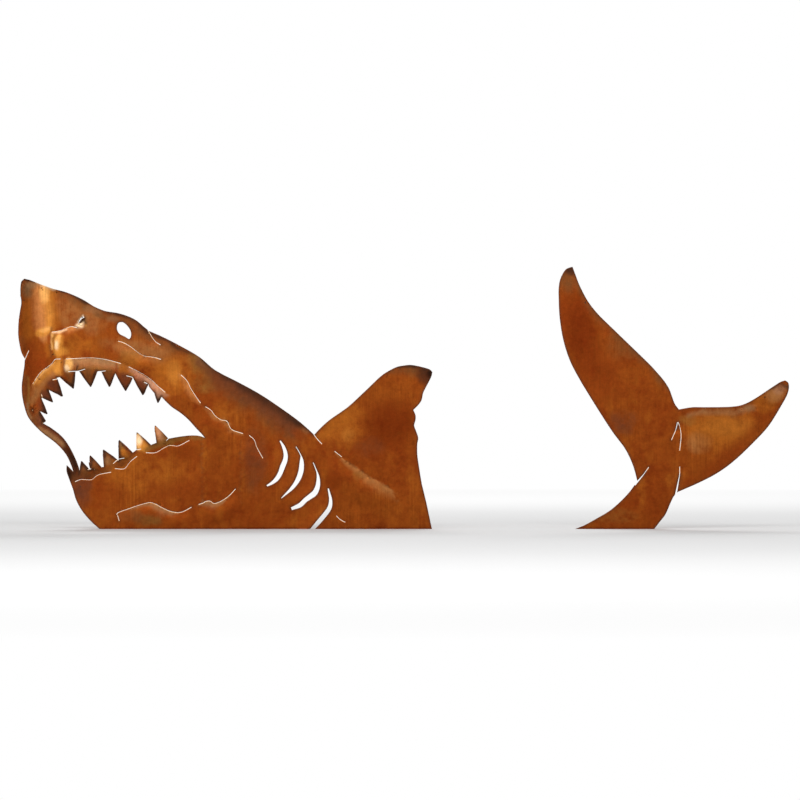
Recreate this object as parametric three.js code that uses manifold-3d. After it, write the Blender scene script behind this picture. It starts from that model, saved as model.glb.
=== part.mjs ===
// A shark breaking the surface, as a garden sculpture of two silhouettes cut from weathering steel sheet and
// lightly worked by hand: the head with its back and dorsal fin, and the tail with its two flukes.
// The sheets stand on edge along X, their fronts face -Y, +Z is up and the ground is at Z = 0.
// Sizes are in millimetres. The origin is on the head's ground edge, in the middle of its length.

import * as THREE from "three";
import { mergeVertices } from "three/addons/utils/BufferGeometryUtils.js";
import Module from "manifold-3d";

const wasm = await Module();
wasm.setup();

// Driving sizes
const headLength = 912; // from the snout to the fin's outermost edge
const tailHeight = 577; // from the ground to the tip of the tall fluke
const tailStandsAt = 768; // from the middle of the head's ground edge to the middle of the tail's
const sheetThickness = 3;
const kerf = 1; // width of a line cut through the sheet
const edgeLeft = 0.9; // sheet left outside the drawn silhouettes, as the torch runs round their outer side
const gillWidth = 12; // at the widest
const pierceHole = 1.6; // across a small hole in the strap of the cheek
const stockCutMouth = 4; // the two cuts of the tail's stock, where they open

// How far the hand work brings the sheet out of its plane
const snoutTurnBack = 20; // the snout's front edge, behind the plane
const headBow = 5; // both ends of the head, behind its middle
const flukeCurl = 9; // the tips of the flukes, behind the stock
const upperTeethBack = 5; // the tips of both rows of teeth, behind their roots
const lowerTeethBack = 4;
const toothTwist = 1.5; // one flank of a tooth forwards, the other back
const gumTuck = 4; // a gum's cut edge, behind the lip
const gumSwell = 3; // and the gum further from its cut, in front of it
const wrinkleTuck = 2;
const wrinkleSwell = 3;
const foldTuck = 2.5; // the fold at the root of the fin
const foldSwell = 5;
const gillLip = 3; // the front edge of each gill, in front of the sheet
const nostrilFlapBack = 7;
const tongueBack = 5;

// How far from its line the work reaches
const gumReach = 46;
const wrinkleReach = 40;
const gillReach = 26;
const foldReach = 60;
const foldReachAbove = 10;
const nostrilReach = 14;

// How finely the curves and the worked surface are divided
const curveTolerance = 0.15;
const edgeStep = 24; // longest edge along the outline
const wideMesh = 30; // spacing of points where the sheet is nearly flat
const fineMesh = 12; // and where it is worked
const noticedBend = 0.12; // bend within one fine step that calls for the finer spacing

// The two silhouettes are drawn as [x, z] from the middle of their ground edges, and one factor each
// brings them to the driving sizes. Lines run smoothly through their points.

const headOutline = {
  throat: [[-365, 0], [-382, 15], [-403, 39], [-417, 64], [-424, 88], [-433, 112], [-438, 128], [-438, 139]],
  frontToothFlank: [[-438, 139], [-422, 123]],
  cheekStrap: [
    [-422, 123], [-428, 141], [-439, 164], [-459, 187], [-490, 211], [-509, 229], [-523, 247], [-531, 269],
    [-536, 293], [-537, 315], [-534, 340], [-531, 359], [-530, 375],
  ],
  snoutFront: [
    [-530, 375], [-537, 387], [-542, 407], [-545, 429], [-544, 458], [-541, 479], [-538, 497], [-540, 518],
    [-540, 531], [-538, 544], [-532, 550],
  ],
  crown: [
    [-532, 550], [-520, 547], [-495, 537], [-470, 528], [-443, 521], [-420, 512], [-400, 502], [-379, 489],
    [-355, 479], [-326, 474], [-306, 468], [-287, 459], [-269, 444], [-258, 435],
  ],
  back: [
    [-258, 435], [-228, 422], [-189, 402], [-146, 377], [-117, 352], [-97, 340], [-63, 323], [-14, 296],
    [37, 262], [75, 234], [103, 209], [106, 206],
  ],
  finLeadingEdge: [
    [106, 206], [122, 223], [140, 239], [181, 268], [218, 302], [255, 337], [272, 348], [289, 356],
    [304, 359], [319, 360], [345, 355], [360, 350], [365, 345],
  ],
  finUpperRearEdge: [[365, 345], [363, 336], [353, 316], [345, 300], [341, 283], [334, 273], [323, 262]],
  finLowerRearEdge: [
    [323, 262], [328, 250], [328, 240], [325, 228], [330, 213], [334, 200], [332, 188], [332, 163],
    [336, 135], [342, 98], [350, 66], [357, 34], [364, 0],
  ],
};

// Each tooth is [root, tip, root], in the order in which the edge of the mouth is followed.
const upperTeeth = [
  [[-230, 292], [-238, 278], [-245, 299]],
  [[-260, 317], [-271, 295], [-292, 333]],
  [[-293, 333], [-309, 304], [-331, 343]],
  [[-332, 343], [-345, 313], [-362, 348]],
  [[-371, 348], [-386, 313], [-411, 349]],
  [[-420, 348], [-424, 309], [-454, 335]],
  [[-461, 333], [-448, 292], [-478, 307]],
  [[-479, 306], [-470, 279], [-494, 290]],
  [[-495, 287], [-482, 253], [-498, 260]],
  [[-498, 258], [-486, 237], [-493, 233]],
];
const lowerTeeth = [
  [[-410, 123], [-406, 149], [-389, 130]],
  [[-386, 130], [-387, 161], [-362, 135]],
  [[-356, 136], [-358, 174], [-325, 150]],
  [[-323, 151], [-323, 195], [-293, 167]],
  [[-284, 174], [-284, 212], [-253, 184]],
  [[-240, 189], [-244, 227], [-215, 198]],
];
const toothBulge = 0.015; // of a flank's length, outwards
const toothTipWidth = 2;

const mouthRoof = [[-132, 199], [-141, 210], [-152, 221], [-168, 239], [-186, 255], [-208, 270], [-230, 292]];
const strapInside = [
  [-493, 233], [-471, 220], [-448, 201], [-433, 180], [-420, 154], [-414, 139], [-410, 123],
];
const jawTop = [[-215, 198], [-193, 202], [-165, 205], [-147, 204], [-132, 199]];
const eye = [
  [-328, 441], [-325, 453], [-316, 455], [-306, 448], [-298, 436], [-297, 424], [-301, 418], [-310, 423],
  [-323, 430],
];

const pierceAt = [-513.5, 261];

// Cut lines of the head. The sheet is worked on a line's right hand, as drawn.
const nostril = [[-414, 450], [-412, 455], [-408, 461], [-404, 466], [-402, 468], [-400, 465]];
const nostrilOpening = 3.1; // widest
const gumCuts = {
  frontUpper: [[-513, 319], [-504, 334], [-494, 346], [-482, 355], [-470, 365], [-464, 373], [-452, 374]],
  longUpper: [[-440, 374], [-419, 375], [-379, 376], [-350, 372], [-319, 364]],
  rearUpper: [[-302, 357], [-275, 343], [-253, 328], [-238, 314], [-222, 301]],
  frontLower: [[-341, 125], [-370, 119], [-384, 109], [-408, 109], [-420, 104]],
  middleLower: [[-284, 160], [-299, 148], [-312, 133], [-332, 133]],
  rearLower: [[-169, 195], [-194, 183], [-213, 184], [-244, 168], [-264, 168]],
};
const wrinkleCuts = {
  snout: [[-471, 433], [-453, 436], [-440, 441], [-429, 445], [-416, 443]],
  belowEye: [
    [-325, 413], [-317, 411], [-301, 403], [-284, 390], [-275, 384], [-267, 380], [-256, 379], [-244, 377],
    [-231, 373],
  ],
  brow: [[-262, 441], [-255, 429], [-249, 419], [-242, 411], [-232, 405]],
  upperNeck: [[-187, 339], [-174, 326], [-165, 308], [-154, 291], [-144, 277]],
  middleNeck: [[-133, 269], [-121, 261], [-112, 249], [-99, 240], [-86, 237], [-77, 220], [-51, 210]],
  lowerNeck: [[-37, 206], [-26, 196], [-21, 181], [-14, 168], [-7, 156]],
  frontChin: [
    [-323, 18], [-326, 28], [-328, 33], [-325, 36], [-303, 44], [-283, 51], [-262, 57], [-254, 58],
    [-244, 55], [-231, 48], [-211, 39], [-195, 36], [-183, 38], [-171, 44], [-164, 48],
  ],
  rearChin: [
    [-148, 54], [-139, 57], [-131, 61], [-123, 61], [-115, 56], [-105, 58], [-89, 67], [-79, 75], [-67, 88],
  ],
};
const toothRootCuts = [
  [[-258, 312], [-260, 318], [-268, 323]],
  [[-292, 328], [-294, 333], [-307, 337]],
  [[-367, 346], [-353, 348]],
  [[-398, 352], [-410, 348], [-416, 347], [-422, 347], [-435, 346]],
  [[-457, 331], [-469, 328]],
  [[-491, 284], [-494, 296]],
  [[-392, 131], [-388, 132], [-378, 131]],
  [[-336, 144], [-325, 153], [-312, 156]],
  [[-288, 174], [-275, 176]],
  [[-213, 201], [-220, 194]],
];
const strapCut = [[-533, 368], [-526, 384], [-522, 393]];
const finRootCut = [[98, 219], [111, 200], [123, 187]];
const finFold = [[151, 171], [177, 149], [205, 131], [224, 115], [247, 105], [270, 90], [284, 72], [295, 58]];
const finFoldOpenShare = 0.11; // of the fold's length that is cut right through, from its upper end
const groundCut = [[155, 29], [163, 21], [174, 15]];
// Each gill is [x, z, share of its greatest width].
const gills = [
  [
    [31, 194, 0.2], [38, 182, 0.5], [42, 171, 0.65], [43.5, 160, 0.75], [41.5, 149, 0.85], [36.5, 137, 0.9],
    [31.5, 123, 0.8], [23.5, 110, 0.75], [13, 101, 0.5], [2, 95, 0.25],
  ],
  [
    [66, 181, 0.1], [72, 171, 0.1], [77, 161, 0.15], [78.5, 152, 0.6], [78.5, 140, 0.85], [77, 127, 0.9],
    [72, 112, 0.85], [64.5, 99, 0.7], [55.5, 88, 0.55], [46, 79, 0.3], [34, 68, 0.1],
  ],
  [
    [104, 146, 0.1], [108, 136, 0.1], [112, 126, 0.2], [114.5, 116, 0.45], [115, 104, 0.7], [113, 91, 0.85],
    [107, 79, 1], [98, 72, 1], [87, 64, 0.8], [75, 52.5, 0.8], [65, 48, 0.7], [56, 44.5, 0.5],
  ],
  [
    [137, 89, 0.2], [139.5, 78, 0.35], [142, 66, 0.5], [142, 56, 0.65], [139.5, 46, 0.75], [133, 36, 0.8],
    [124, 25, 0.8], [112, 11, 0.8], [99, -3, 0.6], [81, -15, 0.2],
  ],
];

const tailOutline = {
  tallFlukeOuterEdge: [
    [-94, 576], [-107, 571], [-119, 551], [-123, 530], [-123, 508], [-121, 466], [-113, 416], [-99, 372],
    [-81, 336], [-41, 270], [-4, 213], [24, 175], [41, 138], [50, 105],
  ],
  stockFront: [[50, 105], [29, 77], [-8, 42], [-44, 20], [-68, 7], [-86, 0]],
  stockRear: [[85, 0], [98, 17], [109, 31], [128, 72], [137, 82]],
  lowFlukeUnderside: [
    [137, 82], [187, 104], [223, 123], [257, 147], [301, 188], [337, 227], [364, 270], [379, 298], [382, 314],
    [380, 322], [374, 326],
  ],
  lowFlukeTop: [
    [374, 326], [365, 323], [349, 313], [313, 289], [294, 278], [276, 271], [255, 268], [198, 267],
    [170, 267], [150, 264], [140, 262],
  ],
  tallFlukeInnerEdge: [
    [140, 262], [131, 274], [116, 312], [88, 348], [42, 394], [-13, 447], [-39, 473], [-60, 500],
    [-78, 534], [-86, 554], [-94, 576],
  ],
};
const stockFrontCut = [[43, 97], [51, 106], [62, 119], [74, 136]];
const stockRearCut = [[133, 72], [139, 103], [142, 121], [142, 137]];
const tongueCut = [[124, 196], [133, 217], [138, 235], [144, 217], [145, 202], [142, 173]];

// Soft upright bends left in the head's sheet: [x, middle z, half height, lift]
const uprightBends = [
  [-471, 412, 40, 1.6],
  [-445, 366, 30, 1.4],
  [-374, 380, 60, 1.0],
  [-139, 120, 70, 1.8],
  [-55, 130, 70, 1.8],
];
const uprightBendWidth = 12;
const snoutBendLine = -478; // from here forwards the snout is turned back

// Lines and polygons, as arrays of THREE.Vector2 whose y is the height Z.

const scaled = (points, scale) => points.map(([x, z]) => new THREE.Vector2(x * scale, z * scale));

/** How far an outline reaches along x (0) or z (1), as drawn. */
function drawnSpan(outline, coordinate) {
  const values = Object.values(outline).flatMap((points) => points.map((point) => point[coordinate]));
  return Math.max(...values) - Math.min(...values);
}

const headScale = (headLength - 2 * edgeLeft) / drawnSpan(headOutline, 0);
const tailScale = (tailHeight - edgeLeft) / drawnSpan(tailOutline, 1);

/** Drops the points of a line that lie within the tolerance of the chord between their neighbours. */
function thinned(points) {
  if (points.length < 3) return points;
  const [first, last] = [points[0], points.at(-1)];
  const away = points.map((p) => distanceToSegment(p, first, last));
  const farthest = away.indexOf(Math.max(...away));
  if (away[farthest] <= curveTolerance) return [first, last];
  return [...thinned(points.slice(0, farthest + 1)).slice(0, -1), ...thinned(points.slice(farthest))];
}

function distanceToSegment(p, a, b) {
  const along = b.clone().sub(a);
  const share = THREE.MathUtils.clamp(p.clone().sub(a).dot(along) / (along.lengthSq() || 1), 0, 1);
  return p.distanceTo(a.clone().addScaledVector(along, share));
}

/** A smooth line through the points, with no more corners than its curve needs. */
function smoothLine(points, closed = false) {
  const spans = points.length - (closed ? 0 : 1);
  const through = points.map((p) => new THREE.Vector3(p.x, p.y));
  const curve = new THREE.CatmullRomCurve3(through, closed, "centripetal");
  const sampled = curve.getPoints(spans * 8).map((p) => new THREE.Vector2(p.x, p.y));
  if (!closed) return thinned(sampled);
  const half = Math.floor(sampled.length / 2);
  return [...thinned(sampled.slice(0, half + 1)).slice(0, -1), ...thinned(sampled.slice(half)).slice(0, -1)];
}

/** One polygon out of lines that follow each other, without the points that two of them share. */
const joined = (lines) =>
  lines.flat().filter((p, i, all) => p.distanceTo(all[(i + 1) % all.length]) > curveTolerance);

/** A polygon with its edge moved outwards, or inwards if by is negative, and cut off flat at the ground. */
function outwards(polygon, by) {
  const aboveGround = wasm.CrossSection.square([1e5, 1e5]).translate([-5e4, 0]);
  const drawn = new wasm.CrossSection([polygon.map((p) => p.toArray())], "EvenOdd");
  const [edge] = drawn.offset(by, "Miter", 2).intersect(aboveGround).toPolygons();
  return edge.map(([x, z]) => new THREE.Vector2(x, z));
}

/** A tooth's edge from root to root, its flanks a little bulged and its tip blunt. */
function toothEdge([root, tip, farRoot]) {
  const turn = Math.sign(tip.clone().sub(root).cross(farRoot.clone().sub(root)));
  const flank = (from, to) => {
    const out = new THREE.Vector2(to.y - from.y, from.x - to.x).multiplyScalar(turn * toothBulge);
    return from.clone().lerp(to, 0.55).add(out);
  };
  const blunt = (from) => tip.clone().add(from.clone().sub(tip).setLength(toothTipWidth / 2));
  return [root, flank(root, tip), blunt(root), blunt(farRoot), flank(tip, farRoot), farRoot];
}

/** A round hole, as a polygon. */
const roundHole = (middle, across) =>
  new THREE.EllipseCurve(middle.x, middle.y, across / 2, across / 2).getPoints(8).slice(0, -1);

/** A narrow opening along a line, as a polygon. widthAt gives its width for a share of the line's length. */
function opening(points, widthAt) {
  const line = smoothLine(points);
  const lengths = [0];
  line.slice(1).forEach((p, i) => lengths.push(lengths[i] + p.distanceTo(line[i])));
  const side = (sign) =>
    line.map((p, i) => {
      const along = line[Math.min(i + 1, line.length - 1)].clone().sub(line[Math.max(i - 1, 0)]).normalize();
      const half = (sign * widthAt(lengths[i] / lengths.at(-1))) / 2;
      return new THREE.Vector2(p.x - along.y * half, p.y + along.x * half);
    });
  return [...side(1), ...side(-1).reverse()];
}

const cutLine = (points) => opening(points, () => kerf);
const cutLineFrom = (mouth, points) => opening(points, (share) => kerf + (mouth - kerf) * (1 - share) ** 2);
const slimEnd = 0.4; // width that the nostril keeps at its ends

/** A crescent, slim where it starts and widest past its middle. */
const crescent = (points, widest) =>
  opening(points, (share) => slimEnd + (widest - slimEnd) * Math.sin(Math.PI * share ** 1.3) ** 1.2);

/** A gill, whose points name their share of the greatest width. */
function gillOpening(gill, scale) {
  const line = scaled(gill, scale);
  const reached = [0];
  line.slice(1).forEach((p, i) => reached.push(reached[i] + p.distanceTo(line[i])));
  const widthAt = (share) => {
    const at = share * reached.at(-1);
    const next = Math.max(1, reached.findIndex((length) => length >= at - 1e-6));
    const part = THREE.MathUtils.inverseLerp(reached[next - 1], reached[next], at);
    return gillWidth * THREE.MathUtils.lerp(gill[next - 1][2], gill[next][2], Math.min(part, 1));
  };
  return opening(line, widthAt);
}

// Solids: a blank is cut from the sheet, then opened along each cut.

/** A polygon as a solid that stands in the XZ plane, centred on Y = 0. */
function plate(polygon, thickness) {
  const extrusion = { depth: thickness, bevelEnabled: false };
  const geometry = new THREE.ExtrudeGeometry(new THREE.Shape(polygon), extrusion);
  geometry.rotateX(Math.PI / 2).translate(0, thickness / 2, 0);
  geometry.deleteAttribute("normal").deleteAttribute("uv");
  const merged = mergeVertices(geometry, 1e-4);
  return new wasm.Manifold(
    new wasm.Mesh({
      numProp: 3,
      vertProperties: merged.attributes.position.array,
      triVerts: new Uint32Array(merged.index.array),
    }),
  );
}

/** The front of a blank with its cuts taken out, as a flat web of triangles: {points, triangles}. */
function cutFront(blank, cuts) {
  const punch = 2 * sheetThickness;
  const sheet = cuts.reduce((left, cut) => left.subtract(plate(cut, punch)), plate(blank, sheetThickness));
  const { vertProperties, triVerts, numProp } = sheet.getMesh();
  const numbers = new Map();
  const points = [];
  const pointOf = (vertex) => {
    if (!numbers.has(vertex)) {
      numbers.set(vertex, points.length);
      points.push(new THREE.Vector2(vertProperties[vertex * numProp], vertProperties[vertex * numProp + 2]));
    }
    return numbers.get(vertex);
  };
  const triangles = [];
  for (let i = 0; i < triVerts.length; i += 3) {
    const corners = [...triVerts.subarray(i, i + 3)];
    const inFront = corners.every((vertex) => vertProperties[vertex * numProp + 1] < 0);
    if (inFront) triangles.push(corners.map(pointOf));
  }
  return { points, triangles };
}

// The flat web is divided finely enough to follow the hand work.

/** Every directed edge of the web's triangles: "from,to" leads to [triangle, opposite corner]. */
function edgesOf({ triangles }) {
  const edges = new Map();
  triangles.forEach((t, n) =>
    t.forEach((from, i) => edges.set(from + "," + t[(i + 1) % 3], [n, t[(i + 2) % 3]])),
  );
  return edges;
}

function rimOf(web) {
  const edges = edgesOf(web);
  return [...edges.keys()]
    .map((key) => key.split(",").map(Number))
    .filter(([from, to]) => !edges.has(to + "," + from));
}

/** Halves the rim's edges until none is longer than the step. */
function divideRim(web, step) {
  const { points, triangles } = web;
  const long = rimOf(web).filter(([a, b]) => points[a].distanceTo(points[b]) > step);
  if (!long.length) return;
  const edges = edgesOf(web);
  const halved = new Set();
  for (const [a, b] of long) {
    const [n, opposite] = edges.get(a + "," + b);
    if (halved.has(n)) continue;
    halved.add(n);
    const middle = points.push(points[a].clone().lerp(points[b], 0.5)) - 1;
    triangles[n] = [a, middle, opposite];
    triangles.push([middle, b, opposite]);
  }
  divideRim(web, step);
}

const areaOf = (a, b, c) => b.clone().sub(a).cross(c.clone().sub(a)) / 2;

/** Puts a point in the triangle that holds it. A point that no triangle holds is left out. */
function addPoint({ points, triangles }, p) {
  const holds = (t) => t.every((a, i) => areaOf(points[a], points[t[(i + 1) % 3]], p) > 1e-3);
  const n = triangles.findIndex(holds);
  if (n < 0) return;
  const [a, b, c] = triangles[n];
  const middle = points.push(p) - 1;
  triangles[n] = [a, b, middle];
  triangles.push([b, c, middle], [c, a, middle]);
}

/** Turns the shared edge of two triangles wherever that evens out their angles, until none is left. */
function evenOut(web) {
  const { points, triangles } = web;
  const angle = (from, to, at) => Math.abs(
    Math.atan2(
      to.clone().sub(at).cross(from.clone().sub(at)),
      to.clone().sub(at).dot(from.clone().sub(at)),
    ),
  );
  for (let turned = true; turned; ) {
    turned = false;
    const touched = new Set();
    const edges = edgesOf(web);
    for (const [key, [n, c]] of edges) {
      const [a, b] = key.split(",").map(Number);
      const [m, d] = edges.get(b + "," + a) ?? [];
      if (m === undefined || a > b || touched.has(n) || touched.has(m)) continue;
      const [pa, pb, pc, pd] = [a, b, c, d].map((i) => points[i]);
      if (angle(pa, pb, pc) + angle(pa, pb, pd) <= Math.PI + 1e-6) continue;
      if (areaOf(pc, pa, pd) <= 0 || areaOf(pd, pb, pc) <= 0) continue;
      triangles[n] = [c, a, d];
      triangles[m] = [d, b, c];
      touched.add(n).add(m);
      turned = true;
    }
  }
}

/** Adds points inside the web: a wide lattice, with a fine one where the lift bends the sheet noticeably. */
function fillInside(web, lift) {
  const rim = rimOf(web).map((pair) => pair.map((i) => web.points[i]));
  const box = new THREE.Box2().setFromPoints(web.points);
  const bendAt = (p) => {
    const step = (x, z) => lift(new THREE.Vector2(p.x + x * fineMesh, p.y + z * fineMesh));
    const here = 2 * lift(p);
    const [alongX, alongZ] = [step(1, 0) + step(-1, 0) - here, step(0, 1) + step(0, -1) - here];
    return Math.max(Math.abs(alongX), Math.abs(alongZ));
  };
  const rimDistance = (p) => Math.min(...rim.map(([a, b]) => distanceToSegment(p, a, b)));
  const placed = [];
  for (const [spacing, wanted] of [[fineMesh, (p) => bendAt(p) > noticedBend], [wideMesh, () => true]]) {
    const row = spacing * Math.sin(Math.PI / 3);
    for (let j = 0; box.min.y + j * row < box.max.y; j++)
      for (let i = 0; box.min.x + i * spacing < box.max.x; i++) {
        const p = new THREE.Vector2(box.min.x + (i + (j % 2) / 2) * spacing, box.min.y + (j + 0.5) * row);
        if (!wanted(p) || rimDistance(p) < spacing / 2) continue;
        if (placed.some((other) => other.distanceTo(p) < 0.75 * spacing)) continue;
        placed.push(p);
        addPoint(web, p);
      }
  }
}

/** Places two rows of points on either side of a fold, so that the web can step up across it. */
function fillAlong(web, fold, gap) {
  const rows = opening(fold, () => gap);
  const apart = 2 * gap;
  rows.filter((p, i) => i === 0 || p.distanceTo(rows[i - 1]) > apart).forEach((p) => addPoint(web, p));
}

/** The web lifted out of its plane and thickened to the sheet, with its foot flat on the ground. */
function worked(web, lift) {
  const middle = web.points.map((p) => new THREE.Vector3(p.x, -lift(p), p.y));
  const normals = middle.map(() => new THREE.Vector3());
  for (const [a, b, c] of web.triangles) {
    const face = middle[b].clone().sub(middle[a]).cross(middle[c].clone().sub(middle[a]));
    for (const corner of [a, b, c]) normals[corner].add(face);
  }
  const onGround = web.points.map((p) => Math.abs(p.y) < 1e-3);
  normals.forEach((normal, i) => {
    if (onGround[i]) normal.z = 0;
    normal.normalize();
  });
  const half = sheetThickness / 2;
  const side = (sign) => middle.map((p, i) => p.clone().addScaledVector(normals[i], sign * half));
  const corners = [...side(1), ...side(-1)];
  const count = middle.length;
  const faces = web.triangles.flatMap(([a, b, c]) => [a, b, c, a + count, c + count, b + count]);
  const walls = rimOf(web).flatMap(([a, b]) => [b, a, a + count, b, a + count, b + count]);
  const geometry = new THREE.BufferGeometry().setFromPoints(corners).setIndex([...faces, ...walls]);
  geometry.computeVertexNormals();
  return geometry;
}

// Lifts: how far a point of the sheet stands out in front of its plane.

/**
 * How much the work along a line lifts a point on its right hand. The profile gives the lift in mid line
 * for a share of the reach, and it dies away towards both ends of the line.
 */
function besideLine(points, reach, profile) {
  const line = smoothLine(points);
  const lengths = [0];
  line.slice(1).forEach((p, i) => lengths.push(lengths[i] + p.distanceTo(line[i])));
  return (p) => {
    let nearest = { distance: Infinity };
    line.slice(1).forEach((end, i) => {
      const start = line[i];
      const along = end.clone().sub(start);
      const share = THREE.MathUtils.clamp(p.clone().sub(start).dot(along) / along.lengthSq(), 0, 1);
      const offset = p.clone().sub(start.clone().addScaledVector(along, share));
      const at = lengths[i] + share * along.length();
      const distance = offset.length();
      if (distance < nearest.distance) nearest = { distance, onRight: along.cross(offset) < 0, at };
    });
    if (!nearest.onRight || nearest.distance > reach) return 0;
    const towardsEnds = Math.max(0, Math.sin((Math.PI * nearest.at) / lengths.at(-1))) ** 0.7;
    return profile(nearest.distance / reach) * towardsEnds;
  };
}

/** Tucked behind the plane at the line, then swelling out in front of it. */
const tuckedEdge = (tuck, swell) => (t) => swell * Math.sin(Math.PI * t) - tuck * (1 - t) ** 3;
const raisedEdge = (height) => (t) => height * THREE.MathUtils.smoothstep(1 - t, 0, 1);
const hingedEdge = (depth) => (t) => -depth * (1 - t);

/** Leans a tooth out by its lean at the tip, and twists it about its middle line. */
function toothLift([root, tip, farRoot], lean) {
  const whole = areaOf(root, tip, farRoot);
  const slack = 0.2;
  return (p) => {
    const [atFarRoot, atRoot] = [areaOf(root, tip, p) / whole, areaOf(tip, farRoot, p) / whole];
    const atTip = 1 - atRoot - atFarRoot;
    if (atTip < 0 || atRoot < -slack || atFarRoot < -slack) return 0;
    return lean * atTip ** 1.5 + toothTwist * (atFarRoot - atRoot) * Math.sqrt(atTip);
  };
}

const total = (lifts) => (p) => lifts.reduce((sum, lift) => sum + lift(p), 0);

/** How far a value is past a limit, as a share of a span and not below nothing. */
const past = (value, limit, span) => Math.max(0, (value - limit) / span);

const weatheringSteel = new THREE.MeshStandardMaterial({ color: 0x9a4c1c, roughness: 0.55, metalness: 0.35 });

function sharkHead() {
  const scale = headScale;
  const sized = (points) => scaled(points, scale);
  const lines = (group) => Object.values(group).map(sized);
  const [upper, lower] = [upperTeeth, lowerTeeth].map((teeth) => teeth.map(sized));
  const blank = outwards(joined(lines(headOutline).map((points) => smoothLine(points))), edgeLeft);
  const mouth = joined([
    smoothLine(sized(mouthRoof)),
    ...upper.map(toothEdge),
    smoothLine(sized(strapInside)),
    ...lower.map(toothEdge),
    smoothLine(sized(jawTop)),
  ]);
  const fold = smoothLine(sized(finFold));
  const openFold = sized(finFold.slice(0, 2));
  openFold[1].lerpVectors(openFold[0], fold.at(-1), finFoldOpenShare);
  const cuts = [
    outwards(mouth, -edgeLeft),
    smoothLine(sized(eye), true),
    roundHole(...sized([pierceAt]), pierceHole),
    crescent(sized(nostril), nostrilOpening),
    ...gills.map((gill) => gillOpening(gill, scale)),
    ...[...lines(gumCuts), ...lines(wrinkleCuts), ...toothRootCuts.map(sized)].map(cutLine),
    ...[strapCut, finRootCut, groundCut].map((points) => cutLine(sized(points))),
    cutLine(openFold),
  ];
  const gumEdge = tuckedEdge(gumTuck, gumSwell);
  const wrinkleEdge = tuckedEdge(wrinkleTuck, wrinkleSwell);
  const frontX = -headLength * 0.6;
  const lift = total([
    (p) => -headBow * (p.x / (headLength / 2)) ** 2,
    (p) => -snoutTurnBack * past(-p.x, -snoutBendLine * scale, snoutBendLine * scale - frontX) ** 2,
    ...uprightBends.map(([x, z, halfHeight, rise]) => (p) =>
      rise *
      Math.exp(-(((p.x - x * scale) / uprightBendWidth) ** 2)) *
      Math.max(0, 1 - ((p.y - z * scale) / (halfHeight * scale)) ** 2),
    ),
    ...lines(gumCuts).map((points) => besideLine(points, gumReach, gumEdge)),
    ...lines(wrinkleCuts).map((points) => besideLine(points, wrinkleReach, wrinkleEdge)),
    ...gills.map((points) => besideLine(sized(points), gillReach, raisedEdge(gillLip))),
    besideLine(sized(finFold), foldReach, tuckedEdge(foldTuck, foldSwell)),
    besideLine(sized(finFold).reverse(), foldReachAbove, tuckedEdge(foldTuck, 0)),
    besideLine(sized(nostril), nostrilReach, hingedEdge(nostrilFlapBack)),
    ...upper.map((tooth) => toothLift(tooth, -upperTeethBack)),
    ...lower.map((tooth) => toothLift(tooth, -lowerTeethBack)),
  ]);
  const web = cutFront(blank, cuts);
  divideRim(web, edgeStep);
  fillAlong(web, sized(finFold), kerf);
  fillInside(web, lift);
  evenOut(web);
  const head = new THREE.Mesh(worked(web, lift), weatheringSteel);
  head.name = "shark_head";
  return head;
}

function sharkTail() {
  const scale = tailScale;
  const sized = (points) => scaled(points, scale);
  const drawn = joined(Object.values(tailOutline).map((points) => smoothLine(sized(points))));
  const blank = outwards(drawn, edgeLeft);
  const tongue = smoothLine(sized(tongueCut));
  const stockCuts = [stockFrontCut, stockRearCut].map((points) => cutLineFrom(stockCutMouth, sized(points)));
  const [tongueRoot, tongueTip] = [sized(tongueCut)[0], sized(tongueCut)[2]];
  const insideTongue = (p) => tongue.every((a, i) => !i || areaOf(tongue[i - 1], a, p) < 0);
  const lift = total([
    (p) => -flukeCurl * past(p.y, tailHeight * 0.4, tailHeight * 0.6) ** 2,
    (p) => -flukeCurl * past(p.x, tailHeight * 0.3, tailHeight * 0.4) ** 2,
    (p) => (insideTongue(p) ? -tongueBack * past(p.y, tongueRoot.y, tongueTip.y - tongueRoot.y) : 0),
  ]);
  const web = cutFront(blank, [...stockCuts, cutLine(sized(tongueCut))]);
  divideRim(web, edgeStep);
  fillInside(web, lift);
  evenOut(web);
  const tail = new THREE.Mesh(worked(web, lift), weatheringSteel);
  tail.name = "shark_tail";
  return tail;
}

const shark = new THREE.Group();
const head = sharkHead();
const tail = sharkTail();
tail.position.x = tailStandsAt;
shark.add(head, tail);

export default shark;
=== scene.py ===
# %% [markdown]
# # A shark in weathering steel, breaking the surface
#
# The sculpture is two silhouettes cut with a torch from 3 mm sheet: the head with its back and fin, and the
# tail. Thin lines are cut right through for the gums, the wrinkles and the gills, and the sheet beside them
# is bent a little by hand. Weather has turned all of it to rust. Here each sheet is built from the packed
# model, refined, given real thickness, and then painted the way rust grows: in layers.

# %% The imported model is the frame
import math

import bpy
import numpy as np
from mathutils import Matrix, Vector, noise
from mathutils.kdtree import KDTree


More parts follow.
